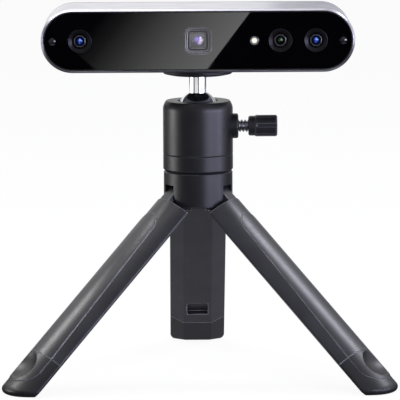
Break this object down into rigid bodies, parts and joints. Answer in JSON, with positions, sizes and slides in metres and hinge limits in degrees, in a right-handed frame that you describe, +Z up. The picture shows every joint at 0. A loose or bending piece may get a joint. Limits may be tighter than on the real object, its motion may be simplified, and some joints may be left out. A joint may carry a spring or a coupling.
{
  "type": "desktop 3d scanner",
  "caption": "Bar-shaped 3D scanner head with stereo cameras and a light projector behind a dark glass face, on a ball-head pocket tripod with folding legs.",
  "frame": {"origin": "on the table under the middle of the object's box, between the three feet's soles", "axes": "+Z up, the scanner's glass face looks along -Y, +X to the right as the face is seen, where the clamp knob is"},
  "size_m": [0.1924, 0.1704, 0.1839],
  "materials": {
    "shell_metal": "fine satin blasted silver",
    "bezel_black": "satin black",
    "face_glass": "polished, backed black",
    "well_black": "satin black",
    "window_glass": "polished",
    "barrel_black": "matt black",
    "lens_glass": "polished and coated",
    "ring_metal": "satin dark grey",
    "lamp_cream": "milky diffuser",
    "lamp_clear": "clear moulded",
    "bracket_metal": "plain",
    "circuit_board": "glass fibre board, solder mask",
    "brass": "turned",
    "cover_plastic": "fine moulded grain",
    "button_plastic": "satin",
    "steel": "plain turned",
    "plate_metal": "black anodised look",
    "pad_rubber": "matt",
    "chrome": "polished",
    "seat_plastic": "plain acetal",
    "head_metal": "satin charcoal",
    "collar_metal": "black",
    "knob_plastic": "satin black",
    "leg_plastic": "satin charcoal",
    "foot_rubber": "satin"
  },
  "bodies": {
    "hub": {"tripod_crown": "leg_plastic", "crown_bolt": "steel", "front_left_hinge_pin": "steel", "front_right_hinge_pin": "steel", "rear_hinge_pin": "steel", "housing_base": "head_metal", "ball_housing": "head_metal", "clamp_collar": "collar_metal", "seat_spring": "steel"},
    "front_left_leg": {"front_left_leg": "leg_plastic", "front_left_foot": "foot_rubber"},
    "front_right_leg": {"front_right_leg": "leg_plastic", "front_right_foot": "foot_rubber"},
    "rear_leg": {"rear_leg": "leg_plastic", "rear_foot": "foot_rubber"},
    "ball_seat": {"ball_seat": "seat_plastic"},
    "ball_stem": {"ball_stem": "chrome"},
    "scanner_head": {"scanner_shell": "shell_metal", "front_bezel": "bezel_black", "front_glass": "face_glass", "projector_frame": "well_black", "projector_window": "window_glass", "projector_barrel": "barrel_black", "projector_lens": "lens_glass", "flash_ring": "ring_metal", "flash_led": "lamp_cream", "left_fill_led": "lamp_clear", "right_fill_led": "lamp_clear", "optics_bracket": "bracket_metal", "mainboard": "circuit_board", "heat_spreader": "bracket_metal", "tripod_insert": "brass", "rear_cover": "cover_plastic", "button_board": "circuit_board", "status_light": "lamp_clear", "usb_socket": "steel", "rear_cover_screws": "steel", "platform_plate": "plate_metal", "platform_pad": "pad_rubber", "left_camera_ring": "ring_metal", "left_camera_barrel": "barrel_black", "left_camera_lens": "lens_glass", "colour_camera_ring": "ring_metal", "colour_camera_barrel": "barrel_black", "colour_camera_lens": "lens_glass", "right_camera_ring": "ring_metal", "right_camera_barrel": "barrel_black", "right_camera_lens": "lens_glass"},
    "clamp_shoe": {"clamp_shoe": "brass"},
    "clamp_screw": {"clamp_screw": "steel", "clamp_knob": "knob_plastic"},
    "dimmer_button": {"dimmer_button": "button_plastic"},
    "scan_button": {"scan_button": "button_plastic"},
    "brighter_button": {"brighter_button": "button_plastic"}
  },
  "joints": [
    {"name": "front_left_leg_fold", "type": "hinge", "parent": "hub", "child": "front_left_leg", "pos_m": [-0.00823, -0.0283, 0.08925], "axis": [0.5, -0.866, 0], "range_deg": [0, 46]},
    {"name": "front_right_leg_fold", "type": "hinge", "parent": "hub", "child": "front_right_leg", "pos_m": [0.00823, -0.0283, 0.08925], "axis": [0.5, 0.866, 0], "range_deg": [0, 46]},
    {"name": "rear_leg_fold", "type": "hinge", "parent": "hub", "child": "rear_leg", "pos_m": [0, -0.01405, 0.08925], "axis": [-1, 0, 0], "range_deg": [0, 46]},
    {"name": "ball_pan", "type": "hinge", "parent": "hub", "child": "ball_seat", "pos_m": [0, -0.02355, 0.13185], "axis": [0, 0, 1], "continuous": true},
    {"name": "ball_tilt", "type": "hinge", "parent": "ball_seat", "child": "ball_stem", "pos_m": [0, -0.02355, 0.13185], "axis": [1, 0, 0], "range_deg": [-34, 34]},
    {"name": "platform_turn", "type": "hinge", "parent": "ball_stem", "child": "scanner_head", "pos_m": [0, -0.02355, 0.13185], "axis": [0, 0, 1], "continuous": true},
    {"name": "clamp_travel", "type": "slide", "parent": "hub", "child": "clamp_shoe", "axis": [1, 0, 0], "range_m": [0, 0.001]},
    {"name": "clamp_turn", "type": "hinge", "parent": "clamp_shoe", "child": "clamp_screw", "pos_m": [0.0249, -0.02355, 0.12425], "axis": [1, 0, 0], "range_deg": [0, 360]},
    {"name": "dimmer_button_press", "type": "slide", "parent": "scanner_head", "child": "dimmer_button", "axis": [0, -1, 0], "range_m": [0, 0.0006], "stiffness_N_per_m": 1500, "springref_m": -0.0005},
    {"name": "scan_button_press", "type": "slide", "parent": "scanner_head", "child": "scan_button", "axis": [0, -1, 0], "range_m": [0, 0.0006], "stiffness_N_per_m": 1500, "springref_m": -0.0005},
    {"name": "brighter_button_press", "type": "slide", "parent": "scanner_head", "child": "brighter_button", "axis": [0, -1, 0], "range_m": [0, 0.0006], "stiffness_N_per_m": 1500, "springref_m": -0.0005}
  ],
  "couplings": [
    {"joint": "clamp_turn", "follows": "clamp_travel", "rad_per_m": 6283.2}
  ]
}
